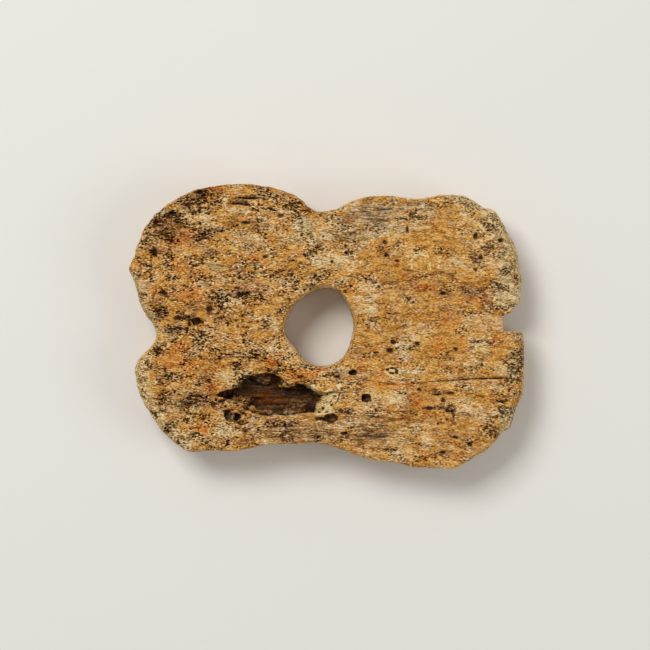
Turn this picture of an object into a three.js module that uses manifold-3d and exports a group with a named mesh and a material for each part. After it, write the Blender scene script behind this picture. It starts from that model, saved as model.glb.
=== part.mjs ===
// A bone spindle whorl: a flat slab sawn out of spongy bone, with a natural four-lobed outline, worn
// edges and one hole for the spindle. It lies on its underside. X runs along the slab and the grain of
// the bone, Y across it, and Z up. The origin is under the middle of the slab, on what it lies on.

import * as THREE from "three";
import { mergeVertices, toCreasedNormals } from "three/addons/utils/BufferGeometryUtils.js";
import Module from "manifold-3d";

const wasm = await Module();
wasm.setup();

// The slab, in millimetres.
const slabLength = 54;
const slabThickness = 8;

// The worn edges. At each point of the outline the upper edge's wear is a multiple of upperEdgeWear.
const upperEdgeWear = 0.45;
const upperEdgeDrop = 1.5; // how far down the side a broad worn edge reaches, at most
const lowerEdgeWear = 0.8;
const sideTaper = 0.25; // how far the side leans in below its widest line

// The hole for the spindle. Its lips are dished, most of all towards -Y, where the thread pulled.
const holeRadius = 4.75;
const lipWidth = 0.4;
const lipPulledWidth = 0.6;
const lipDepth = 0.9;

// The break in the right end.
const breakWidth = 2;
const breakDepth = 3;

// The hollow where the thin wall of bone has come away.
const hollowLength = 16.5;
const hollowWidth = 5.7;
const hollowDepth = 1.9;

// The open pores that are large enough to see.
const poreLength = 1.2;
const poreWidth = 0.75;
const poreDepth = 0.8;

// Where these lie, X and Y as percentages of the slab's length.
const holePlace = [-1.5, -0.2];
const breakPlace = 0.6;
const hollowPlace = [-12.5, -16.9];

const outlineStep = 0.9; // the longest straight piece that the outline is drawn with
const holeSides = 64;
const cutterPast = 1; // how far a cutter runs past the faces that it opens

// The outline, clockwise from the point on the left end: X and Y as percentages of the slab's length,
// and the wear of the upper edge. Each stretch is a smooth curve, and they meet at corners.
const outline = [
  [
    // over the upper left lobe, the waist and the upper right lobe
    [-49.9, 14.5, 1.2], [-46.1, 24.5, 0.8], [-42.8, 28.7, 0.8], [-34.3, 34.1, 0.9], [-29.2, 35.5, 1],
    [-22.7, 36, 1.2], [-14.9, 35.5, 1.3], [-7.8, 33.1, 1], [-2.8, 29.3, 1.8], [0.8, 29.3, 2],
    [9.1, 32.7, 1.2], [16.4, 33, 1], [23.3, 32.2, 1], [30.6, 33.3, 1.3], [35.6, 32.8, 2], [40, 29.9, 3],
  ],
  [
    // down the crumbled corner to the break
    [40, 29.9, 3], [42.4, 29.4, 3.6], [46, 23.1, 3.4], [47.9, 19.6, 4], [48.6, 15.3, 5.4],
    [49.5, 11, 6.4], [48.9, 7.4, 5.6],
  ],
  [
    // past the break to the flake lost from the lower corner
    [48.9, 7.4, 5.6], [49.4, 2.1, 4.4], [50.1, -6.4, 5.4], [49.5, -17.6, 4], [48.2, -20.3, 3.4],
    [46.5, -25.6, 2.4],
  ],
  [
    // under the right lobe, the lower waist and the lower left lobe
    [46.5, -25.6, 2.4], [43.9, -27.4, 1.6], [41.6, -30.3, 1.4], [35.1, -34.3, 1.6], [32.6, -35.8, 1.3],
    [26, -35.7, 1], [22.3, -35.5, 1], [16.7, -34.3, 1], [11.9, -33.9, 1], [6.8, -32.4, 1],
    [2.1, -30.4, 1], [-3, -29.4, 1.2], [-9.3, -29.7, 1.2], [-15.4, -29.9, 1], [-23.2, -31.6, 1.1],
    [-29.5, -31.4, 1], [-35.1, -31.4, 1.3], [-40.1, -27.8, 2], [-44.4, -22.4, 2.5],
    [-46.9, -17.9, 2.5], [-48.7, -11, 2.6],
  ],
  [
    // round the notch between the left lobes
    [-48.7, -11, 2.6], [-47.5, -8.2, 2.4], [-44.8, -5.5, 1.8], [-43.1, -2.9, 1.4], [-43.7, -0.1, 1.5],
    [-46.2, 3.5, 2.4], [-47.7, 7.4, 2.8], [-48.1, 10.2, 2.4], [-49.9, 14.5, 1.2],
  ],
];

// The hole's outline as waves round its mean radius: how many, how high as a share, and where they crest.
const holeWaves = [
  { count: 2, height: 0.068, crest: 87 },
  { count: 3, height: 0.046, crest: 56 },
  { count: 4, height: 0.029, crest: -4 },
  { count: 6, height: 0.017, crest: 9 },
];

// The broken upper wall of the break, as shares of its depth: in from the end, and up from its middle.
const breakSteps = [[-0.3, 0.75], [0.2, 0.62], [0.42, 0.5], [0.6, 0.2], [0.85, 0.08]];

// The hollow's outline, anticlockwise, as shares of half its length and half its width.
const hollowOutline = [
  [-1, 0], [-0.75, -0.25], [-0.57, -0.42], [-0.45, -0.71], [-0.26, -0.98], [0.04, -1], [0.37, -0.93],
  [0.67, -0.95], [0.87, -0.81], [1, -0.32], [1, 0.11], [0.74, 0.25], [0.47, 0.4], [0.24, 0.35],
  [0.04, 0.83], [-0.16, 1], [-0.36, 0.9], [-0.54, 0.59], [-0.74, 0.2],
];
const hollowKeel = { from: -0.6, to: 0.42, side: -0.1 }; // its deepest line, in the same shares

// The open pores: X and Y as percentages of the slab's length, and multiples of their length and width.
const pores = [
  { place: [9.9, -18], long: 0.75, wide: 1.1 },
  { place: [0.9, -23.1], long: 1.35, wide: 1.15 },
  { place: [-24.8, -22.3], long: 0.65, wide: 1.25 },
  { place: [-22.6, -22.7], long: 0.65, wide: 0.9 },
  { place: [-32.8, 1.3], long: 0.95, wide: 0.9 },
  { place: [6.5, -11.6], long: 0.65, wide: 0.7 },
];

// A percentage of the slab's length in millimetres.
function along(percent) {
  return (percent * slabLength) / 100;
}

// The outline as evenly spaced points, anticlockwise, each with its wear in millimetres as its Z.
function outlinePoints() {
  const points = outline.flatMap((stretch) => {
    const knots = stretch.map(
      ([x, y, wear]) => new THREE.Vector3(along(x), along(y), wear * upperEdgeWear),
    );
    const curve = new THREE.CatmullRomCurve3(knots, false, "centripetal");
    const steps = Math.ceil(curve.getLength() / outlineStep);
    return curve.getSpacedPoints(steps).slice(0, -1);
  });
  return points.reverse();
}

// The outward direction at each point of an anticlockwise ring, evened over a few neighbours.
function outwardDirections(points) {
  const reach = 3;
  return points.map((_, i) => {
    const before = points.at(i - reach);
    const after = points[(i + reach) % points.length];
    return new THREE.Vector2(after.y - before.y, before.x - after.x).normalize();
  });
}

// A closed solid through a stack of anticlockwise rings of equal count, from the lowest up.
function stackGeometry(rings) {
  const count = rings[0].length;
  const faces = [];
  for (let k = 0; k < rings.length - 1; k++) {
    for (let i = 0; i < count; i++) {
      const a = k * count + i;
      const b = k * count + ((i + 1) % count);
      faces.push(a, b, a + count, b, b + count, a + count);
    }
  }
  const capFaces = (ring) => THREE.ShapeUtils.triangulateShape(ring, []);
  const top = (rings.length - 1) * count;
  for (const [a, b, c] of capFaces(rings[0])) faces.push(a, c, b);
  for (const [a, b, c] of capFaces(rings.at(-1))) faces.push(top + a, top + b, top + c);
  return new THREE.BufferGeometry().setFromPoints(rings.flat()).setIndex(faces);
}

// A geometry as a solid that can be joined and cut.
function toSolid(geometry) {
  const bare = geometry.clone();
  bare.deleteAttribute("normal");
  bare.deleteAttribute("uv");
  const merged = mergeVertices(bare, 1e-5);
  return new wasm.Manifold(
    new wasm.Mesh({
      numProp: 3,
      vertProperties: new Float32Array(merged.attributes.position.array),
      triVerts: new Uint32Array(merged.index.array),
    }),
  );
}

function toGeometry(solid) {
  const mesh = solid.getMesh();
  const geometry = new THREE.BufferGeometry();
  geometry.setAttribute("position", new THREE.BufferAttribute(mesh.vertProperties, 3));
  geometry.setIndex(new THREE.BufferAttribute(mesh.triVerts, 1));
  return geometry;
}

// The slab itself: its side rises from a worn lower edge to an upper edge that is worn more in places.
function slabSolid() {
  const points = outlinePoints();
  const outward = outwardDirections(points);
  const ring = (inset, height) =>
    points.map((point, i) => {
      const place = new THREE.Vector2(point.x, point.y).addScaledVector(outward[i], -inset(point.z));
      return new THREE.Vector3(place.x, place.y, height(point.z));
    });
  const lowerEdge = [90, 55, 25].map((angle) => {
    const turn = THREE.MathUtils.degToRad(angle);
    return ring(
      () => sideTaper + lowerEdgeWear * (1 - Math.cos(turn)),
      () => lowerEdgeWear * (1 - Math.sin(turn)),
    );
  });
  const upperEdge = [0, 30, 55, 75, 90].map((angle) => {
    const turn = THREE.MathUtils.degToRad(angle);
    return ring(
      (wear) => wear * (1 - Math.cos(turn)),
      (wear) => slabThickness - Math.min(wear, upperEdgeDrop) * (1 - Math.sin(turn)),
    );
  });
  return toSolid(stackGeometry([...lowerEdge, ...upperEdge]));
}

// What the spindle hole takes away: a bore with a lip dished into both faces.
function holeCutter() {
  const [middleX, middleY] = holePlace.map(along);
  const ring = (dish, height) =>
    Array.from({ length: holeSides }, (_, i) => {
      const turn = (i / holeSides) * 2 * Math.PI;
      const wave = ({ count, height: high, crest }) =>
        high * Math.cos(count * (turn - THREE.MathUtils.degToRad(crest)));
      const waves = holeWaves.reduce((sum, each) => sum + wave(each), 1);
      const pull = Math.max(0, -Math.sin(turn)) ** 4;
      const radius = holeRadius * waves + dish * (lipWidth + lipPulledWidth * pull);
      const [x, y] = [radius * Math.cos(turn), radius * Math.sin(turn)];
      return new THREE.Vector3(middleX + x, middleY + y, height);
    });
  return toSolid(
    stackGeometry([
      ring(1, -cutterPast),
      ring(1, 0),
      ring(0.3, lipDepth / 2),
      ring(0, lipDepth),
      ring(0, slabThickness - lipDepth),
      ring(0.3, slabThickness - lipDepth / 2),
      ring(1, slabThickness),
      ring(1, slabThickness + cutterPast),
    ]),
  );
}

// What the break in the right end takes away: a square notch with a stepped upper wall.
function breakCutter() {
  const end = slabLength / 2;
  const floor = end - breakDepth;
  const low = along(breakPlace) - breakWidth / 2;
  const high = low + breakWidth;
  const section = [
    [floor, low],
    [end + cutterPast, low],
    ...breakSteps.map(([inward, upward]) => [end - breakDepth * inward, high + breakDepth * upward]),
    [floor, high],
  ];
  const ring = (height) => section.map(([x, y]) => new THREE.Vector3(x, y, height));
  return toSolid(stackGeometry([ring(-cutterPast), ring(slabThickness + cutterPast)]));
}

// What the hollow takes away: a bowl that narrows to a keel along the grain, with a long slope at +X.
function hollowCutter() {
  const [middleX, middleY] = hollowPlace.map(along);
  const ring = (inward, height) =>
    hollowOutline.map(([x, y]) => {
      const slope = x > hollowKeel.to ? Math.sqrt(inward) : inward;
      const keelX = THREE.MathUtils.clamp(x, hollowKeel.from, hollowKeel.to);
      const shareX = THREE.MathUtils.lerp(x, keelX, slope);
      const shareY = THREE.MathUtils.lerp(y, hollowKeel.side, inward);
      return new THREE.Vector3(
        middleX + (shareX * hollowLength) / 2,
        middleY + (shareY * hollowWidth) / 2,
        height,
      );
    });
  return toSolid(
    stackGeometry([
      ring(0.75, slabThickness - hollowDepth),
      ring(0.45, slabThickness - hollowDepth * 0.9),
      ring(0.15, slabThickness - hollowDepth * 0.55),
      ring(0, slabThickness),
      ring(0, slabThickness + cutterPast),
    ]),
  );
}

// What one open pore takes away: an egg lying along the grain, sunk to its middle in the upper face.
function poreCutter({ place, long, wide }) {
  const [x, y] = place.map(along);
  const egg = new THREE.IcosahedronGeometry(1, 2);
  egg.scale((long * poreLength) / 2, (wide * poreWidth) / 2, poreDepth);
  egg.translate(x, y, slabThickness);
  return toSolid(egg);
}

const cutters = [holeCutter(), breakCutter(), hollowCutter(), ...pores.map(poreCutter)];
const whorlSolid = cutters.reduce((solid, cutter) => solid.subtract(cutter), slabSolid());

// The origin goes under the middle of the slab's own box, which its uneven outline leaves a little off.
const box = whorlSolid.boundingBox();
const whorlGeometry = toCreasedNormals(toGeometry(whorlSolid), THREE.MathUtils.degToRad(40));
whorlGeometry.translate(-(box.min[0] + box.max[0]) / 2, -(box.min[1] + box.max[1]) / 2, 0);

const bone = new THREE.MeshStandardMaterial({ color: 0xb0834a, roughness: 0.75, metalness: 0 });
const whorl = new THREE.Mesh(whorlGeometry, bone);
whorl.name = "whorl";

const spindleWhorl = new THREE.Group();
spindleWhorl.name = "spindle_whorl";
spindleWhorl.add(whorl);

export default spindleWhorl;
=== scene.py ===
import bpy
import numpy as np
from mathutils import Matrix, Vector


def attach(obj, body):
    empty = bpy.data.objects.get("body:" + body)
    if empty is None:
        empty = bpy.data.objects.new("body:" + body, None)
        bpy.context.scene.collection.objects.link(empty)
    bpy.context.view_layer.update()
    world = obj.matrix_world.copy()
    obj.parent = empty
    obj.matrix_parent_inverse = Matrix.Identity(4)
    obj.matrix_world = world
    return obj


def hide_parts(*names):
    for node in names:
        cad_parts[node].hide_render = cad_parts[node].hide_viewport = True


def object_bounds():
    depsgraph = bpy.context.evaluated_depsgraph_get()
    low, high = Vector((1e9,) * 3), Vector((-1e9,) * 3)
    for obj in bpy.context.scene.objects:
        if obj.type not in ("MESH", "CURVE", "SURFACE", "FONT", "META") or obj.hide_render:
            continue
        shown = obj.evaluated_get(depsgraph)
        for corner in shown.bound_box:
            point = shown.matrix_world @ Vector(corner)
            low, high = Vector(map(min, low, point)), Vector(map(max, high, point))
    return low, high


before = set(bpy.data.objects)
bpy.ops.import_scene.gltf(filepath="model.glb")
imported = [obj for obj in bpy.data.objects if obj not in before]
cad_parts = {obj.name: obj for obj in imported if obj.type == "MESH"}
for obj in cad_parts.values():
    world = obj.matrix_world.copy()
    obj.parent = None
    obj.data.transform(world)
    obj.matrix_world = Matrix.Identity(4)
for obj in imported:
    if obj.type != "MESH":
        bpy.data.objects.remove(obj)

cad_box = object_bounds()

# The whorl's body. One slab of old spongy bone, sawn flat on both faces and worn round its edge. The
# solid gives its outline, hole, break and hollow. It is drawn again here as one fine mesh, so that its
# open pores, grain, crack and crumbled edges can be cut into it.

MM = 0.001
VOXEL = 0.13 * MM
FACE_LIMIT = 190_000
SLAB_TOP = cad_box[1].z / MM


def settled(piece):
    """Makes what the modifiers do part of the mesh, and takes them off."""
    shown = piece.evaluated_get(bpy.context.evaluated_depsgraph_get())
    piece.data = bpy.data.meshes.new_from_object(shown)
    piece.modifiers.clear()


def read_points(mesh, layer="co"):
    """Every vertex's place, or its normal, as rows of three numbers."""
    values = np.empty(len(mesh.vertices) * 3, np.float32)
    source = mesh.vertices if layer == "co" else mesh.vertex_normals
    source.foreach_get("co" if layer == "co" else "vector", values)
    return values.reshape(-1, 3).astype(np.float64)


def store(mesh, name, values):
    """Keeps one number, or one vector, for every vertex."""
    is_vector = values.ndim == 2
    layer = mesh.attributes.new(name, "FLOAT_VECTOR" if is_vector else "FLOAT", "POINT")
    layer.data.foreach_set("vector" if is_vector else "value", values.astype(np.float32).ravel())


whorl = bpy.data.objects.new("whorl_bone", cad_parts["whorl"].data.copy())
bpy.context.scene.collection.objects.link(whorl)
remesh = whorl.modifiers.new("even mesh", "REMESH")
remesh.mode = "VOXEL"
remesh.voxel_size = VOXEL
remesh.use_smooth_shade = True
soften = whorl.modifiers.new("facets worn off", "SMOOTH")
soften.factor = 0.5
soften.iterations = 6
settled(whorl)

# Where things lie on the upper face. They are placed by the photograph's pixels, which from_photo turns
# into millimetres from the slab's middle. Each is kept for every vertex as a number that falls off
# smoothly, so that the relief and the colour can both draw its edge sharp, and ragged where it is.

PHOTO_MIDDLE = (327, 326.5)
PHOTO_LENGTH = 396
MM_PER_PIXEL = (cad_box[1].x - cad_box[0].x) / MM / PHOTO_LENGTH
FAR = 9.0  # what counts as far away from a mark, in millimetres
FAR_FROM_SPOTS = -3.0  # and far from every oval, whose edge is 0 and whose middle is 1


def from_photo(x, y):
    """A pixel of the photograph as millimetres from the slab's middle."""
    return np.array([(x - PHOTO_MIDDLE[0]) * MM_PER_PIXEL, (PHOTO_MIDDLE[1] - y) * MM_PER_PIXEL])


def spots(places, points):
    """How far inside the nearest of some ovals each point lies: 1 in its middle, 0 at its edge."""
    nearest = np.full(len(points), FAR_FROM_SPOTS)
    for x, y, half_length, half_width in places:
        reach = np.array([half_length, half_width]) * MM_PER_PIXEL
        away = np.linalg.norm((points[:, :2] - from_photo(x, y)) / reach, axis=1)
        nearest = np.maximum(nearest, 1 - away)
    return nearest


def inside_outline(corners, points):
    """How far inside a closed outline each point lies in millimetres, and outside it as minus that."""
    ring = np.array([from_photo(*corner) for corner in corners])
    nearest = np.full(len(points), np.inf)
    inside = np.zeros(len(points), bool)
    flat = points[:, :2]
    for a, b in zip(ring, np.roll(ring, -1, axis=0)):
        along = b - a
        share = np.clip((flat - a) @ along / (along @ along), 0, 1)
        nearest = np.minimum(nearest, np.linalg.norm(flat - a - share[:, None] * along, axis=1))
        crosses = (a[1] > flat[:, 1]) != (b[1] > flat[:, 1])
        rise = np.where(crosses, b[1] - a[1], 1)
        inside ^= crosses & (flat[:, 0] < a[0] + (flat[:, 1] - a[1]) / rise * along[0])
    return np.where(inside, nearest, -nearest)


def near_lines(lines, points):
    """How far each point lies from the nearest of some drawn lines in millimetres, as minus that."""
    nearest = np.full(len(points), FAR)
    for line in lines:
        for start, end in zip(line, line[1:]):
            a = from_photo(*start)
            along = from_photo(*end) - a
            share = np.clip((points[:, :2] - a) @ along / (along @ along), 0, 1)
            away = np.linalg.norm(points[:, :2] - a - share[:, None] * along, axis=1)
            nearest = np.minimum(nearest, away)
    return -nearest


# The hollow, where the wall of bone is gone: its dark part, which is partly painted shade, the bone in it
# that glows orange-brown, the deep shade, painted near-black, the paler slopes, the gentler slope at its
# right end, the black gaps along its lower edge, whose black is painted shade, and the slivers of bone left
# above them.
# An oval is a place with half its length and half its width.
CAVITY = [
    (217, 393.6), (224, 396.2), (236, 396.2), (243, 397.6), (249, 401), (250, 405), (256, 407.6),
    (263, 409.6), (271, 408.8), (279, 407.8), (290, 408.4), (300, 407.6), (311, 409), (314.5, 404.7),
    (318.5, 399.5), (321, 396.2), (313, 394.3), (307.5, 390.4), (304.5, 385), (296, 383.8),
    (293.6, 387.7), (286, 389), (282, 386.4), (278, 377.3), (272.7, 374), (263.6, 375.3),
    (255.7, 376), (250.5, 377.3), (245.3, 382.5), (240, 387.7), (233.5, 390.4), (221.7, 392.3),
]
GLOW = [(271, 397.6, 21, 7.5)]
# painted shade: the hollow's deep shade, drawn near-black in the colour and deepened a little in the relief
PAINTED_DEEP_SHADE = [
    (285, 409.5, 32, 3), (297, 391.8, 26, 4.4), (229, 394, 14, 2.2), (253.6, 400, 4, 3), (310, 406, 6, 5),
    (249, 383, 8, 4), (274, 382, 4, 6),
]
SLOPE = [(263, 382, 11, 6), (246, 399, 7, 4.5), (296, 403.5, 15, 3)]
RAISED = [(322, 389, 16, 5)]
EDGE_GAPS = [
    (248.5, 408.5, 3.8, 2.2), (254.6, 410.8, 3, 2.4), (265.5, 412.6, 8, 2.6), (286.5, 412, 10, 2.4),
    (302, 410.3, 5.5, 2.4), (310, 408, 6, 3.4), (222, 400.5, 4, 1.4), (236, 402, 3, 2), (228, 397, 6, 1.4),
]
SLIVERS = [(253, 406.5, 4, 1.2), (268, 409.8, 6, 1.1), (289, 410.2, 6.5, 1)]
# the pale worn bone beyond the hollow's right end
SCAR = [
    (302, 384), (312, 384.5), (322, 386.5), (334, 385), (339, 388), (338, 399), (333, 404), (331, 411),
    (328, 415), (321, 415.5), (313, 413), (308, 413.5), (313, 408), (315, 403), (319, 399), (321, 395.5),
    (315, 392.5), (307, 390),
]
# The edges: the grey crumbled band inside the upper right corner, the dotted right rim, the flake lost
# from the lower right corner, the worn left rim, and the wall that shows at the upper waist.
CRUMBLED = [
    (446, 194), (452, 203), (466, 208), (478, 213), (486, 222), (491, 236), (498, 256), (496, 280),
    (490, 300), (500, 312), (512, 312), (524, 296), (528, 270), (520, 240), (505, 210), (490, 196),
]
RIGHT_RIM = [
    (505, 332), (507, 350), (504, 372), (498, 390), (490, 408), (480, 424), (486, 440), (504, 440),
    (530, 410), (532, 332),
]
FLAKE = [
    (524, 405), (516, 405.5), (507, 406.5), (500, 409), (498.5, 424), (496, 433), (506, 437), (516, 424),
]
LEFT_RIM = [
    (128, 270), (140, 276), (148, 292), (154, 312), (162, 330), (150, 345), (146, 362), (152, 390),
    (164, 412), (184, 434), (192, 452), (160, 452), (120, 380), (120, 300),
]
WAIST_WALL = [(306, 207), (316, 213), (330, 216), (346, 211), (350, 200), (300, 200)]

# the long crack, the part of it that gapes and the hair cracks, darkened with painted shade, and fine
# ridges drawn only as a painted highlight
CRACK = [
    (351, 377), (368, 380), (381, 382.5), (398, 384.8), (416.5, 383.2), (433.5, 381.2), (450.5, 380.6),
    (468.8, 378.6), (506.7, 378),
]
WIDE_CRACK = [(446, 381), (468.8, 378.8), (507, 378)]
FINE_CRACKS = [
    [(322, 392), (340, 392.6), (358, 392.3)], [(466, 302), (480, 308), (492, 314), (505, 315.5)],
    [(337, 388.5), (339.5, 393.5), (337.5, 400), (333, 406)], [(236, 198.5), (264, 198.3)],
    [(373, 209.5), (403, 209.2)], [(364, 219.6), (388, 220.6)], [(355, 435.5), (386, 436.4)],
    [(359, 416), (388, 417)], [(366, 216), (378, 216.6)],
]
# painted highlight: pale lines where fine ridges catch the light; the relief doesn't raise them
RIDGE_HIGHLIGHT_LINES = [
    [(430.5, 270), (427, 255)], [(437.4, 269), (440.5, 256)], [(411.5, 268), (410.5, 261)],
    [(411, 261), (414.5, 256)], [(414.5, 256), (421, 254)], [(421, 254), (427, 257.5)],
    [(412.5, 373), (424, 361)], [(385.5, 368), (389.5, 365.4), (395, 366.3)],
    [(399, 369), (399.4, 373)], [(384.5, 371.2), (388.5, 374.3), (394, 376.6)], [(390, 370), (394, 370.6)],
]

# rust-orange stains, brown-black stains and pale worn places
RUST = [
    (182, 239, 16, 8), (178, 266, 10, 7), (164, 222, 8, 5), (215, 190, 14, 6), (258, 259, 10, 6),
    (180, 348, 12, 10), (184, 362, 16, 9), (172, 358, 9, 8), (190, 295, 14, 9), (206, 427, 11, 6),
    (271, 363, 12, 6), (303, 373, 16, 6), (321, 369, 8, 4), (216, 388, 13, 6), (496, 337, 6, 6),
    (360, 367, 8, 4), (422, 287, 11, 7), (420, 404, 14, 7), (415, 393, 7, 5), (476, 300, 14, 6),
    (446, 322, 12, 6), (395, 385, 26, 4), (440, 345, 10, 7),
]
STAINED = [
    (166, 226, 24, 16), (190, 204, 15, 10), (203, 192, 13, 5), (240, 203, 12, 4),
    (222, 230, 9, 4), (210, 255, 8, 6), (162, 310, 7, 9), (155, 252, 5, 6), (183, 316, 6, 4),
    (252, 197, 16, 3), (238, 293, 12, 4), (190, 400, 30, 8), (380, 250, 4, 6),
    (488, 248, 9, 3), (478, 262, 6, 4), (437, 392, 16, 3), (436, 407, 14, 2.5), (198, 343, 7, 5),
    (237, 368, 4, 8), (280, 424, 10, 3), (445, 452, 10, 4), (475, 292, 14, 8), (160, 350, 8, 5),
    (345, 411, 8, 3), (175, 330, 14, 8), (372, 435, 18, 3),
]
PALE = [
    (305, 237, 24, 13), (243, 237, 18, 10), (228, 375, 12, 8), (175, 400, 14, 8), (227, 431, 13, 5),
    (230, 402, 9, 3), (380, 213, 34, 11), (364, 238, 12, 8), (330, 262, 26, 12), (275, 325, 8, 12),
    (272, 345, 6, 10), (425, 441, 6, 5), (142, 366, 6, 6), (396, 400, 14, 6), (410, 372, 12, 4),
    (215, 268, 12, 8), (366, 300, 12, 16), (240, 212, 18, 6), (480, 345, 12, 8), (455, 262, 12, 8),
]
# open pores that can be told one from another
OPEN_PORES = [
    (190, 323.5, 2.4, 3.4), (320, 418.5, 7, 2), (210, 309, 4, 4.5), (337, 376.5, 3.5, 1.8),
    (390, 350.5, 5, 2.6), (393, 342, 3.5, 2.4), (376, 352.5, 3.5, 1.4), (417, 343.5, 3.2, 2.6),
    (455.5, 349, 2.8, 2), (385, 242.5, 3, 2.6), (386.5, 255.5, 3.4, 1.6), (397, 261, 3.5, 1.6),
    (346.5, 253, 2.4, 1.6), (332, 262, 2, 1.8), (240, 278, 3, 1.8), (237, 288, 3.6, 1.4),
    (442.6, 400, 3, 2.4), (450.5, 393, 4.5, 1.8), (429.6, 408, 5, 1.8), (419, 389.6, 2.6, 2.2),
    (449, 411, 5, 1.5), (442.6, 293.5, 4.5, 1.6), (475, 237, 3, 3.4), (480, 258, 4, 1.8),
    (475, 269.5, 2.6, 2.4), (500, 241, 3.4, 2.4), (442.6, 452, 3.5, 2), (469, 444, 3, 2.4),
    (255, 411.5, 4, 2.6), (247.5, 407, 4.6, 2.2), (301, 377, 4, 2.2), (164, 293, 3, 3.4),
    (178, 318, 5, 2.6), (225, 395, 7, 1.4), (281, 216, 4, 2.4), (246, 223, 5, 1.4),
    (156, 222, 3, 2.4), (188, 205.5, 4, 2), (172, 213, 3.6, 1.8), (155, 252, 3, 4.5),
    (199.5, 192.3, 5, 2.4), (250, 198.5, 14, 1.1), (236, 204, 9, 1.3), (265, 257, 3.4, 2),
    (387, 369.3, 2.4, 1.8), (392, 368.2, 3, 1.4), (396.6, 371.5, 2.2, 2.6), (391.5, 373, 2.8, 1.4),
    (455, 437, 3, 1.8), (344, 433, 4, 2), (407, 230, 1.6, 5), (437, 394.3, 5, 1.3),
    (225.5, 411, 2.6, 1.6), (233.5, 419.5, 2.4, 1.6), (232, 409.5, 2.6, 1.2), (242, 413, 2, 1.6),
    (233.5, 414.5, 1.6, 2), (322.5, 407.5, 2, 1.4), (326.5, 411, 2.2, 1.4), (331, 404.5, 1.8, 1.6),
    (334, 396, 2.4, 1), (319, 411, 1.6, 1.2),
]
# bone with long streaks in its grain, greyed bone, close bone, and the smooth patch above the break
STREAKED = [(298, 431, 60, 20), (372, 432, 40, 20), (372, 216, 34, 16)]
GREYED = [
    (372, 222, 34, 16), (343, 236, 24, 9), (470, 200, 16, 6), (415, 207, 18, 6), (428, 212, 10, 9),
    (305, 224, 12, 8),
]
CLOSE = [(424, 261, 24, 13), (420, 240, 22, 12), (440, 340, 24, 14), (352, 330, 12, 12)]
SMOOTH_PATCH = [(483, 316), (503, 317), (503, 330), (478, 329), (474, 322)]
# the six pores that the solid itself has
PITS = [
    (366.2, 397.8, 3.3, 3.1), (330.5, 418, 6, 3.3), (228.8, 414.8, 2.9, 3.6), (237.5, 416.4, 2.9, 2.6),
    (197.1, 321.4, 4.2, 2.5), (352.7, 372.4, 2.9, 2),
]

MARKS_REACH = 3.2  # how far down from the upper face the marks reach, in millimetres
MARKS_FADE = 0.8  # and over how much of that they fade out

rest = read_points(whorl.data) / MM
facing = read_points(whorl.data, "normal")
on_top = np.clip((rest[:, 2] - SLAB_TOP + MARKS_REACH) / MARKS_FADE, 0, 1)
placed = {
    "cavity": inside_outline(CAVITY, rest),
    "scar": inside_outline(SCAR, rest),
    "flake": inside_outline(FLAKE, rest),
    "crumbled": inside_outline(CRUMBLED, rest),
    "dotted": inside_outline(RIGHT_RIM, rest),
    "worn_rim": np.maximum(inside_outline(LEFT_RIM, rest), inside_outline(WAIST_WALL, rest)),
    "rust": spots(RUST, rest),
    "stained": spots(STAINED, rest),
    "pale": spots(PALE, rest),
    "greyed": spots(GREYED, rest),
    "streaked": spots(STREAKED, rest),
    "close": spots(CLOSE, rest),
    "open_pore": spots(OPEN_PORES, rest),
    "edge_gap": spots(EDGE_GAPS, rest),
    "sliver": spots(SLIVERS, rest),
    "smooth": inside_outline(SMOOTH_PATCH, rest),
    "pit": spots(PITS, rest),
    "glow": spots(GLOW, rest),
    "painted_deep_shade": spots(PAINTED_DEEP_SHADE, rest),
    "slope": spots(SLOPE, rest),
    "raised": spots(RAISED, rest),
    "crack": near_lines([CRACK], rest),
    "wide_crack": near_lines([WIDE_CRACK], rest),
    "fine_crack": near_lines(FINE_CRACKS, rest),
    "ridge_highlight_line": near_lines(RIDGE_HIGHLIGHT_LINES, rest),
}
for name, values in placed.items():
    store(whorl.data, name, np.where(on_top > 0, values * on_top, 0) - FAR * (1 - on_top))

# The slab's sides and the hole's wall. The walls of the hollow and of the pores don't count as sides.
HOLE_MIDDLE = (319, 327)
HOLE_REACH = 7.0
PIT_MARGIN = 1.5
LIP_LOSS = 0.06  # how much the hole's wall gives way, in millimetres
EVENED = 0.1  # how much the remeshing took off the sides, which goes back on

in_hole = np.linalg.norm(rest[:, :2] - from_photo(*HOLE_MIDDLE), axis=1) < HOLE_REACH
in_pit = np.clip(np.maximum(placed["cavity"], placed["pit"]) + PIT_MARGIN, 0, 1) * on_top
sideways = (1 - np.abs(facing[:, 2])) * (1 - in_pit)
store(whorl.data, "rest", rest)
store(whorl.data, "upright", facing)
store(whorl.data, "upward", np.clip(facing[:, 2], 0, 1))
store(whorl.data, "sideways", sideways)
store(whorl.data, "lost", sideways * np.where(in_hole, LIP_LOSS, -EVENED))

# The sponge of the bone. The relief and the colour both ask for this same pattern of pores and grain, so
# that the dark of a pore lies in its pit. Pores and fibres lie along X, the bone's grain. Each size is in
# millimetres, along the grain and across it.

PORE = (0.42, 0.2)
WIDE_PORE = (1.05, 0.5)
CLUSTER = (2.6, 1.56)  # how far apart the crowds of pores are
REGION = (6.0, 4.8)  # and the more and the less open parts of the slab
WINDING = (3.0, 3.0)  # the bends of the grain
WANDER = 0.5  # how far they take it off its line
FRAYING = (0.4, 0.25)  # the nicks in a pore's wall
FRAY = 0.26  # how deep they are
VECTORS = ("rest", "upright")  # what was kept as a vector, all else as a number


def add(tree, kind, inputs=None, **settings):
    """Adds a node with its settings, and links or sets its inputs, given by name or number."""
    made = tree.nodes.new(kind)
    for name, value in settings.items():
        setattr(made, name, value)
    for key, value in (inputs or {}).items():
        if isinstance(value, bpy.types.Node):
            value = value.outputs[0]
        if isinstance(value, bpy.types.NodeSocket):
            tree.links.new(value, made.inputs[key])
        else:
            made.inputs[key].default_value = value
    return made


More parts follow.
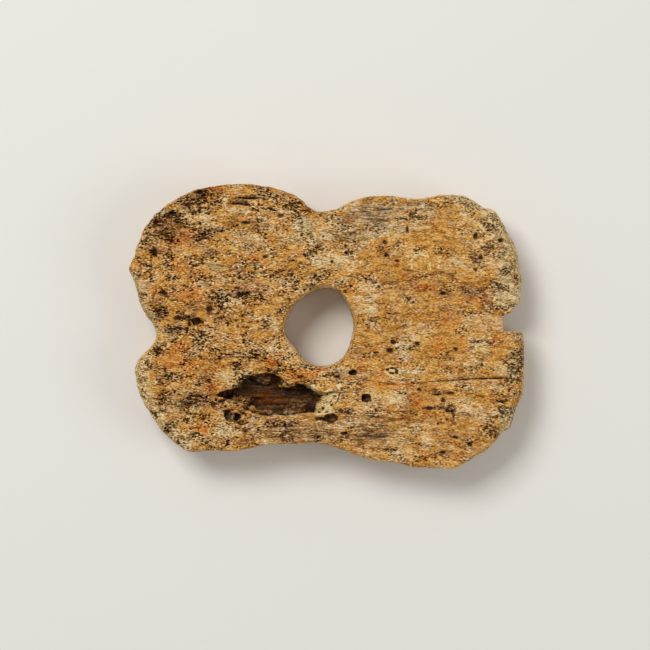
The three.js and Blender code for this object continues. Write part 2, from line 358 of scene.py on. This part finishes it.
def total(tree, *terms):
    """
    The sum of the terms. Each is a value, a value with a factor, or a value with two of its levels and
    what it adds below the first and above the second, with a smooth rise or fall between them.
    """
    result = None
    for term in terms:
        if isinstance(term, tuple) and len(term) == 2:
            term = add(tree, "ShaderNodeMath", {0: term[0], 1: term[1]}, operation="MULTIPLY")
        elif isinstance(term, tuple):
            value, low, high, at_low, at_high = term
            term = add(
                tree, "ShaderNodeMapRange",
                {"Value": value, "From Min": low, "From Max": high, "To Min": at_low, "To Max": at_high},
                interpolation_type="SMOOTHSTEP",
            )
        if result is not None:
            term = add(tree, "ShaderNodeMath", {0: result, 1: term}, operation="ADD")
        result = term
    return result


def textured(tree, kind, place, size, **inputs):
    """A texture, noise or cells, whose swells or cells have the given size."""
    length, width = size
    per_mm = (1 / length, 1 / width, 1 / width)
    spread = add(tree, "ShaderNodeVectorMath", {0: place, 1: per_mm}, operation="MULTIPLY")
    return add(tree, kind, {"Vector": spread, "Scale": 1.0, **inputs})


def noise(tree, place, size, detail=1.0):
    """Soft noise about nought."""
    return total(tree, textured(tree, "ShaderNodeTexNoise", place, size, Detail=detail), -0.5)


def moved(tree, place, size, reach):
    """The place pushed about by noise, reach millimetres at most."""
    push = textured(tree, "ShaderNodeTexNoise", place, size, Detail=2.0).outputs["Color"]
    push = add(tree, "ShaderNodeVectorMath", {0: push, 1: (0.5, 0.5, 0.5)}, operation="SUBTRACT")
    push = add(tree, "ShaderNodeVectorMath", {0: push, "Scale": reach}, operation="SCALE")
    return add(tree, "ShaderNodeVectorMath", {0: place, 1: push}, operation="ADD")


def pores(tree, place, size, share):
    """How far inside a pore each place lies: nought at its wall. Share is how many cells hold one."""
    cell = textured(tree, "ShaderNodeTexVoronoi", place, size)
    chance = add(tree, "ShaderNodeSeparateXYZ", {0: cell.outputs["Color"]}).outputs["X"]
    return total(tree, (total(tree, chance, share, -1.0), 1.6), (cell.outputs["Distance"], -1.0))


def kept(tree, name):
    """What store() kept under a name, read in the relief's nodes or in a material's."""
    if tree.bl_idname == "ShaderNodeTree":
        made = add(tree, "ShaderNodeAttribute", attribute_name=name)
        return made.outputs["Vector" if name in VECTORS else "Fac"]
    kind = "FLOAT_VECTOR" if name in VECTORS else "FLOAT"
    return add(tree, "GeometryNodeInputNamedAttribute", {"Name": name}, data_type=kind).outputs["Attribute"]


def sponge(tree):
    """The grain's place, how open the bone is there, and how deep in a small or a large pore it lies."""
    place = moved(tree, kept(tree, "rest"), WINDING, WANDER)
    across = add(tree, "ShaderNodeSeparateXYZ", {0: place}).outputs["X"]
    # openness is the share of the cells that hold a small pore
    openness = total(
        tree,
        (noise(tree, place, CLUSTER, 2.0), 2.0),
        (noise(tree, place, REGION), 0.7),
        (across, -8.0, 10.0, 0.47, 0.28),
        (kept(tree, "stained"), -0.5, 0.5, 0.0, 0.26),
        (kept(tree, "pale"), -0.3, 0.6, 0.0, -0.2),
        (kept(tree, "rust"), -0.3, 0.6, 0.0, -0.06),
        (kept(tree, "close"), -0.3, 0.6, 0.0, -0.12),
        (kept(tree, "dotted"), -0.6, 1.0, 0.0, 0.32),
        (kept(tree, "crumbled"), -0.6, 1.0, 0.0, 0.1),
        (kept(tree, "scar"), -0.3, 0.2, 0.0, -0.4),
        (kept(tree, "smooth"), -0.4, 0.2, 0.0, -0.4),
        (kept(tree, "streaked"), -0.2, 0.4, 0.0, -0.12),
        (kept(tree, "sideways"), 0.2, 0.7, 0.0, -0.3),
    )
    large_share = total(
        tree,
        (openness, 0.4),
        (kept(tree, "crumbled"), -0.3, 0.5, -0.08, -0.3),
        (kept(tree, "dotted"), -0.3, 0.5, 0.0, -0.26),
    )
    frayed = moved(tree, place, FRAYING, FRAY)
    small = pores(tree, frayed, PORE, openness)
    large = pores(tree, frayed, WIDE_PORE, large_share)
    return place, openness, small, large


# The relief. Each vertex goes in along its normal, by what the pores, marks and worn places add up to.
# The underside gets less of it. Sizes, along the grain and across it, and depths are in millimetres.

CRUMB = (0.7, 0.5)  # the crumbs left where an edge has crumbled
RAGGED = (0.9, 0.4)  # the raggedness of the marks' edges
NIBBLE = (0.55, 0.4)  # and of the pores that the solid has
HOLLOW_STRAND = (7.0, 0.35)  # the strands of bone along the hollow
UNEVEN = (1.5, 0.6)  # the saw's and the wear's unevenness
WARP = (9.0, 8.0)  # the faint swells of the whole face
SIDE_CHIP = (1.4, 1.0)  # chips lost from the side walls
SIDE_CHIP_DEPTH = 0.15
FLAKE_DEPTH = 0.25

relief = bpy.data.node_groups.new("relief of the bone", "GeometryNodeTree")
relief.interface.new_socket("Geometry", in_out="INPUT", socket_type="NodeSocketGeometry")
relief.interface.new_socket("Geometry", in_out="OUTPUT", socket_type="NodeSocketGeometry")
entry = relief.nodes.new("NodeGroupInput")
leave = relief.nodes.new("NodeGroupOutput")
place, openness, small, large = sponge(relief)
crumb = noise(relief, place, CRUMB, 2.0)
ragged = (noise(relief, place, RAGGED, 2.0), 1.5)
nibbled = (noise(relief, kept(relief, "rest"), NIBBLE, 2.0), 5.0)
height = add(relief, "ShaderNodeSeparateXYZ", {0: kept(relief, "rest")}).outputs["Z"]
upward_share = total(relief, (kept(relief, "upward"), 0.2, 0.8, 0.0, 1.0))
crumb_depth = total(relief, (total(relief, (crumb, -0.15, 0.15, 0.2, 0.0)), upward_share))
flake_depth = total(relief, (upward_share, FLAKE_DEPTH))
strand_depth = total(relief, (noise(relief, place, HOLLOW_STRAND, 2.0), -0.15, 0.15, 0.1, 0.5))
side_depth = total(relief, (kept(relief, "sideways"), SIDE_CHIP_DEPTH))
# each row: what it follows, two of its levels, and the depth before the first and past the second
depth = total(
    relief,
    (small, -0.05, 0.25, 0.0, 0.2),
    (large, -0.05, 0.25, 0.0, 0.35),
    (noise(relief, place, UNEVEN, 2.0), -0.2, 0.2, 0.06, 0.0),
    (noise(relief, place, WARP), -0.2, 0.2, 0.0, 0.12),
    (noise(relief, place, SIDE_CHIP, 3.0), -0.15, 0.15, 0.0, side_depth),
    (total(relief, (kept(relief, "pit"), 2.0), nibbled), -0.8, 0.1, 0.0, 0.45),
    (total(relief, kept(relief, "edge_gap"), ragged), 0.0, 0.5, 0.0, 0.4),
    (total(relief, kept(relief, "open_pore"), ragged), 0.0, 0.6, 0.0, 0.45),
    (total(relief, kept(relief, "cavity"), ragged), -0.05, 0.2, 0.0, 0.5),
    (kept(relief, "cavity"), -0.05, 0.3, 0.0, strand_depth),
    (total(relief, kept(relief, "crumbled"), (crumb, 3.0)), -0.5, 0.5, 0.0, crumb_depth),
    (kept(relief, "flake"), -0.1, 0.3, 0.0, flake_depth),
    (kept(relief, "crack"), -0.15, -0.05, 0.0, 0.14),
    (kept(relief, "wide_crack"), -0.17, -0.06, 0.0, 0.3),
    (kept(relief, "fine_crack"), -0.14, -0.05, 0.0, 0.1),
    (kept(relief, "glow"), 0.0, 0.7, 0.0, -0.25),
    (kept(relief, "painted_deep_shade"), 0.0, 0.7, 0.0, 0.3),
    (kept(relief, "slope"), 0.0, 0.7, 0.0, -0.4),
    (kept(relief, "raised"), 0.0, 0.8, 0.0, -0.5),
    (total(relief, (kept(relief, "sliver"), 2.0), ragged), 0.0, 0.8, 0.0, -0.3),
)
depth = total(relief, (depth, total(relief, (height, 0.0, 0.6, 0.3, 1.0))))
offset = total(relief, (total(relief, depth, kept(relief, "lost")), -MM))
upright = kept(relief, "upright")
inward = add(relief, "ShaderNodeVectorMath", {0: upright, "Scale": offset}, operation="SCALE")
carved = add(relief, "GeometryNodeSetPosition", {"Geometry": entry.outputs[0], "Offset": inward})
relief.links.new(carved.outputs[0], leave.inputs[0])

carve = whorl.modifiers.new("relief", "NODES")
carve.node_group = relief
settled(whorl)

# Fewer faces: first nine in ten of the underside's and the lower walls', then some of all, and then
# what rises past the solid's own box is pressed back to it.

SEEN_DEPTH = 2.5  # how far down the sides are seen from above, in millimetres
SHARE_TAKEN = 0.9
LEAVE_THE_REST = 1000  # how firmly the first pass keeps off the vertices outside its group

out_of_sight = np.flatnonzero(rest[:, 2] < SLAB_TOP - SEEN_DEPTH)
whorl.vertex_groups.new(name="out of sight").add(out_of_sight.tolist(), 1.0, "REPLACE")
thin_out = whorl.modifiers.new("fewer faces below", "DECIMATE")
thin_out.ratio = 1 - SHARE_TAKEN * len(out_of_sight) / len(rest)
thin_out.vertex_group = "out of sight"
thin_out.vertex_group_factor = LEAVE_THE_REST
settled(whorl)
whorl.data.calc_loop_triangles()
thin_out = whorl.modifiers.new("fewer faces", "DECIMATE")
thin_out.ratio = FACE_LIMIT / len(whorl.data.loop_triangles)
settled(whorl)
inside_solid = np.clip(read_points(whorl.data), cad_box[0], cad_box[1])
whorl.data.vertices.foreach_set("co", inside_solid.astype(np.float32).ravel())
whorl.data.update()
whorl.data.shade_smooth()

# The colour of the bone. Old bone that lay in the ground: golden where it is close, straw and cream where
# it is open or worn, rust-orange from iron in the soil, and brown-black in the pores, partly dirt and
# partly painted shade. The side walls and fine ridges are lightened with painted light, and the cracks and
# the hollow darkened with painted shade. It is matt, with a faint shine where it is close. The fibres are
# drawn at about twice their real 0.06 mm, and the streaks at more, or they would not show.

FIBRE = (0.34, 0.14)
STRAND = (1.3, 0.455)
STREAK = (3.2, 0.17)
MOTTLE = (1.4, 0.8)
BLOTCH = (2.6, 1.4)
BLOTCH_WINDING = (2.0, 2.0)
BLOTCH_WANDER = 4.0
BROAD_TONE = (6.0, 4.2)
HOLLOW_FIBRE = (7.0, 0.3)
TONE_REACH = 0.3  # how far the grain's tone goes either way, from a palette's first colour to its last
BONE_IOR = 1.54
BUMP_STRENGTH = 0.35
BUMP_HEIGHT = 0.1


def from_hex(colour):
    """An sRGB hex colour as Blender's linear one."""
    parts = [int(colour[i:i + 2], 16) / 255 for i in (1, 3, 5)]
    return [c / 12.92 if c <= 0.04045 else ((c + 0.055) / 1.055) ** 2.4 for c in parts] + [1.0]


bone = bpy.data.materials.new("old spongy bone")
bone.use_nodes = True
tree = bone.node_tree
surface = tree.nodes["Principled BSDF"]
place, openness, small, large = sponge(tree)
fibre = noise(tree, place, FIBRE)
strand = noise(tree, place, STRAND)
streaks = noise(tree, place, STREAK, 2.0)
mottle = noise(tree, place, MOTTLE, 2.0)
blotch = noise(tree, moved(tree, place, BLOTCH_WINDING, BLOTCH_WANDER), BLOTCH, 2.0)
broad = noise(tree, place, BROAD_TONE, 2.0)
nibbled = noise(tree, kept(tree, "rest"), NIBBLE, 2.0)
across = add(tree, "ShaderNodeSeparateXYZ", {0: place}).outputs["X"]
darkness = total(tree, (across, -8.0, 4.0, 0.93, 0.84))
tone = total(
    tree,
    (fibre, total(tree, (openness, 0.0, 0.7, 0.95, 1.7))),
    (strand, 0.7),
    (broad, 0.4),
    (openness, -0.16),
    (small, -0.35, -0.05, 0.0, 0.06),
    0.07,
)
hollow_tone = total(tree, (noise(tree, place, HOLLOW_FIBRE, 3.0), 1.0), (fibre, 0.35))

# each from dark to light
TONES = {
    "golden": ("#5a3310", "#865519", "#ab7326", "#c28a3a", "#d2a150", "#dfb974"),
    "tan": ("#553014", "#7d4f29", "#9f7140", "#b88855", "#cba26c", "#dcbd8f"),
    "straw": ("#563d1f", "#866939", "#aa8b55", "#c4a872", "#d7bf8e", "#e8d7b0"),
    "rust": ("#3e1704", "#723208", "#9e4f10", "#bb691b", "#cd8430", "#dca759"),
    "umber": ("#241106", "#40230c", "#5e391a", "#7a532c", "#967046", "#b69164"),
    "grey": ("#45341b", "#725a34", "#987c4e", "#b4976a", "#cbb18a", "#e1ccab"),
    "ashen": ("#3f2b14", "#715631", "#9f8252", "#c0a270", "#d6bd88", "#e8d5aa"),
    # wall: painted light, a paler bone colour on the side walls and lips, which lie in shade
    "wall": ("#674824", "#916a39", "#b38b54", "#cda773", "#dfbf90", "#ead4ad"),
    "scar": ("#775b2c", "#a58649", "#c5a567", "#d8bb7f", "#e2cb95", "#ebd9ad"),
    # pore: brown-black, partly dirt and partly painted shade, in the pores, the pits and the hollow's gaps
    "pore": ("#0a0402", "#120703", "#1e0d05", "#2d1508", "#43210e", "#5c3416"),
    # inner: the hollow's dark brown bone, made darker still by painted shade
    "inner": ("#0c0502", "#221105", "#3b240d", "#543617", "#6e4b22", "#8c6635"),
    "ember": ("#220d03", "#381904", "#512706", "#693708", "#7e480e", "#935d1b"),
}
# crack shade: painted shade in the cracks; the second colour is a painted highlight on fine ridges
toned = {"crack shade": from_hex("#2a1406"), "ridge highlight": from_hex("#e6d09c")}
for name, colours in TONES.items():
    value = hollow_tone if name in ("inner", "ember") else tone
    ends = {"From Min": -TONE_REACH, "From Max": TONE_REACH}
    level = add(tree, "ShaderNodeMapRange", {"Value": value, **ends})
    ramp = add(tree, "ShaderNodeValToRGB", {"Fac": level})
    for _ in colours[2:]:
        ramp.color_ramp.elements.new(0.5)
    for i, (stop, colour) in enumerate(zip(ramp.color_ramp.elements, colours)):
        stop.position = i / (len(colours) - 1)
        stop.color = from_hex(colour)
    toned[name] = ramp.outputs[0]

# each coat, what it follows, where along that it begins and is full, and how much it then covers
COATS = [
    ("tan", total(tree, blotch, (mottle, 0.6), (fibre, 0.5)), 0.01, 0.09, 0.9),
    ("straw", total(tree, broad, (mottle, 1.0), (fibre, 1.0), (openness, 0.35), -0.19), 0.0, 0.12, 0.65),
    ("straw", total(tree, kept(tree, "pale"), (mottle, 3.0), (fibre, 2.0)), 0.0, 0.5, 0.8),
    ("golden", total(tree, kept(tree, "close"), (mottle, 3.0)), -0.1, 0.5, 0.8),
    ("rust", total(tree, (blotch, -1.0), (mottle, 0.7), (strand, 0.5)), 0.12, 0.2, 0.7),
    ("rust", total(tree, kept(tree, "rust"), (mottle, 4.5), (strand, 2.0)), -0.1, 0.6, 0.85),
    ("umber", total(tree, kept(tree, "stained"), (mottle, 2.5), (strand, 2.0)), -0.1, 0.6, 0.7),
    ("ashen", total(tree, kept(tree, "worn_rim"), (mottle, 4.0)), -0.3, 0.6, 0.75),
    ("grey", total(tree, kept(tree, "greyed"), (mottle, 3.0), (strand, 2.0)), -0.2, 0.5, 0.7),
    ("grey", total(tree, kept(tree, "streaked"), (mottle, 3.0), (strand, 2.0)), -0.2, 0.6, 0.3),
    ("umber", total(tree, kept(tree, "streaked"), (streaks, 5.0), -0.22), -0.1, 0.6, 0.8),
    ("ashen", total(tree, kept(tree, "crumbled"), (mottle, 3.0)), -0.2, 0.5, 0.85),
    # painted light: the side walls and lips drawn paler than the shade they lie in
    ("wall", total(tree, kept(tree, "sideways"), mottle), 0.25, 0.8, 0.8),
    ("grey", total(tree, kept(tree, "flake"), (mottle, 0.6)), -0.1, 0.1, 0.85),
    ("tan", total(tree, kept(tree, "smooth"), (mottle, 1.0)), -0.2, 0.3, 0.7),
    ("scar", total(tree, kept(tree, "scar"), (mottle, 3.2), (fibre, 1.6)), -0.2, 0.4, 0.88),
    # the pores, pits and gaps drawn brown-black: partly dirt, partly painted shade
    ("pore", small, -0.02, 0.07, darkness),
    ("pore", large, -0.03, 0.1, darkness),
    ("pore", total(tree, (kept(tree, "pit"), 3.0), (nibbled, 6.0), (fibre, 3.0)), -1.0, 0.3, 0.86),
    ("pore", total(tree, (kept(tree, "open_pore"), 1.4), (nibbled, 2.0), (fibre, 3.0)), 0.15, 0.45, 0.95),
    # painted highlight along fine ridges
    ("ridge highlight", total(tree, kept(tree, "ridge_highlight_line"), (mottle, 0.3)), -0.18, -0.09, 0.75),
    # the hollow's own dark brown, darkened further by painted shade
    ("inner", total(tree, kept(tree, "cavity"), (mottle, 3.0), (fibre, 3.0)), -0.1, 0.15, 1.0),
    ("umber", total(tree, kept(tree, "slope"), (hollow_tone, 1.5)), 0.0, 0.7, 0.5),
    ("ember", total(tree, kept(tree, "glow"), (hollow_tone, 0.7)), -0.1, 0.6, 0.95),
    # painted shade: near-black over the hollow's deep shade
    ("pore", total(tree, kept(tree, "painted_deep_shade"), (hollow_tone, 3.0)), -0.1, 0.4, 0.85),
    ("pore", total(tree, (kept(tree, "edge_gap"), 2.0), (fibre, 3.0), (mottle, 2.0)), 0.0, 0.5, 0.95),
    ("tan", total(tree, (kept(tree, "sliver"), 2.0), (fibre, 4.0), (mottle, 2.0)), 0.2, 0.9, 0.5),
    # painted shade: dark lines in the cracks, too narrow for the relief to shade
    ("crack shade", total(tree, kept(tree, "crack"), (mottle, 0.2)), -0.1, -0.04, 0.7),
    ("crack shade", total(tree, kept(tree, "wide_crack"), (mottle, 0.2)), -0.13, -0.05, 0.95),
    ("crack shade", total(tree, kept(tree, "fine_crack"), (mottle, 0.5)), -0.15, -0.06, 0.65),
]
# a mix of colours takes them at its inputs 6 and 7, and gives the mixed one at its output 2
colour = toned["golden"]
for name, value, begins, full, most in COATS:
    share = total(tree, (value, begins, full, 0.0, most))
    colour = add(tree, "ShaderNodeMix", {0: share, 6: colour, 7: toned[name]}, data_type="RGBA").outputs[2]
tree.links.new(colour, surface.inputs["Base Color"])
roughness = total(tree, (tone, -0.2, 0.3, 0.85, 0.6))
gloss = total(tree, (small, -0.2, 0.1, 0.22, 0.0))
tree.links.new(roughness.outputs[0], surface.inputs["Roughness"])
tree.links.new(gloss.outputs[0], surface.inputs["Specular IOR Level"])
surface.inputs["IOR"].default_value = BONE_IOR
bumps = total(tree, tone, (small, -0.1, 0.2, 0.0, -0.5))
fine = add(
    tree, "ShaderNodeBump", {"Strength": BUMP_STRENGTH, "Distance": BUMP_HEIGHT * MM, "Height": bumps}
)
tree.links.new(fine.outputs[0], surface.inputs["Normal"])
whorl.data.materials.clear()
whorl.data.materials.append(bone)
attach(whorl, "root")
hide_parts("whorl")

# The place it is shown in: a plain pale floor, one broad soft light from the upper left, a weak one
# from the right, and a camera that looks straight down.

FLOOR_HALF = 0.6
FLOOR_DROP = 0.02 * MM  # so that the whorl's underside doesn't lie in the very same plane

corners = [(-1, -1), (1, -1), (1, 1), (-1, 1)]
floor_mesh = bpy.data.meshes.new("floor")
floor_mesh.from_pydata([(x * FLOOR_HALF, y * FLOOR_HALF, 0) for x, y in corners], [], [(0, 1, 2, 3)])
floor = bpy.data.objects.new("floor", floor_mesh)
floor.location.z = -FLOOR_DROP
bpy.context.scene.collection.objects.link(floor)
# matt paper gives the pale ground that the whorl's shadow falls on, with no shine of its own
paper = bpy.data.materials.new("matt paper")
paper.use_nodes = True
paper_surface = paper.node_tree.nodes["Principled BSDF"]
paper_surface.inputs["Base Color"].default_value = from_hex("#e6e3dc")
paper_surface.inputs["Roughness"].default_value = 0.9
floor_mesh.materials.append(paper)


def soft_light(name, place, size, power):
    """A square light that faces the whorl."""
    lamp = bpy.data.lights.new(name, "AREA")
    lamp.size = size
    lamp.energy = power
    made = bpy.data.objects.new(name, lamp)
    made.location = place
    made.rotation_euler = Vector(place).to_track_quat("Z", "Y").to_euler()
    bpy.context.scene.collection.objects.link(made)


# each light's place and size in metres, and its power in watts
soft_light("key", (-0.22, 0.26, 0.5), 0.26, 2.4)
soft_light("fill", (0.4, -0.1, 0.35), 0.3, 0.6)
world = bpy.data.worlds.new("room")
world.use_nodes = True
room_light = world.node_tree.nodes["Background"]
room_light.inputs["Color"].default_value = from_hex("#ffffff")
room_light.inputs["Strength"].default_value = 0.34
bpy.context.scene.world = world

LENS = 150
SENSOR = 36
NEAREST = 0.01
PHOTO_SIDE = 650
WIDEST = SLAB_TOP - 1.5  # the height of the slab's widest line, which the photograph's outline shows

view_width = PHOTO_SIDE * MM_PER_PIXEL * MM
camera = bpy.data.objects.new("camera", bpy.data.cameras.new("camera"))
camera.data.lens = LENS
camera.data.sensor_width = SENSOR
shift_x = (PHOTO_SIDE / 2 - PHOTO_MIDDLE[0]) * MM_PER_PIXEL * MM
shift_y = (PHOTO_MIDDLE[1] - PHOTO_SIDE / 2) * MM_PER_PIXEL * MM
camera.location = (shift_x, shift_y, WIDEST * MM + view_width * LENS / SENSOR)
camera.data.clip_start = NEAREST
bpy.context.scene.collection.objects.link(camera)
bpy.context.scene.camera = camera
bpy.context.scene.view_settings.view_transform = "Standard"
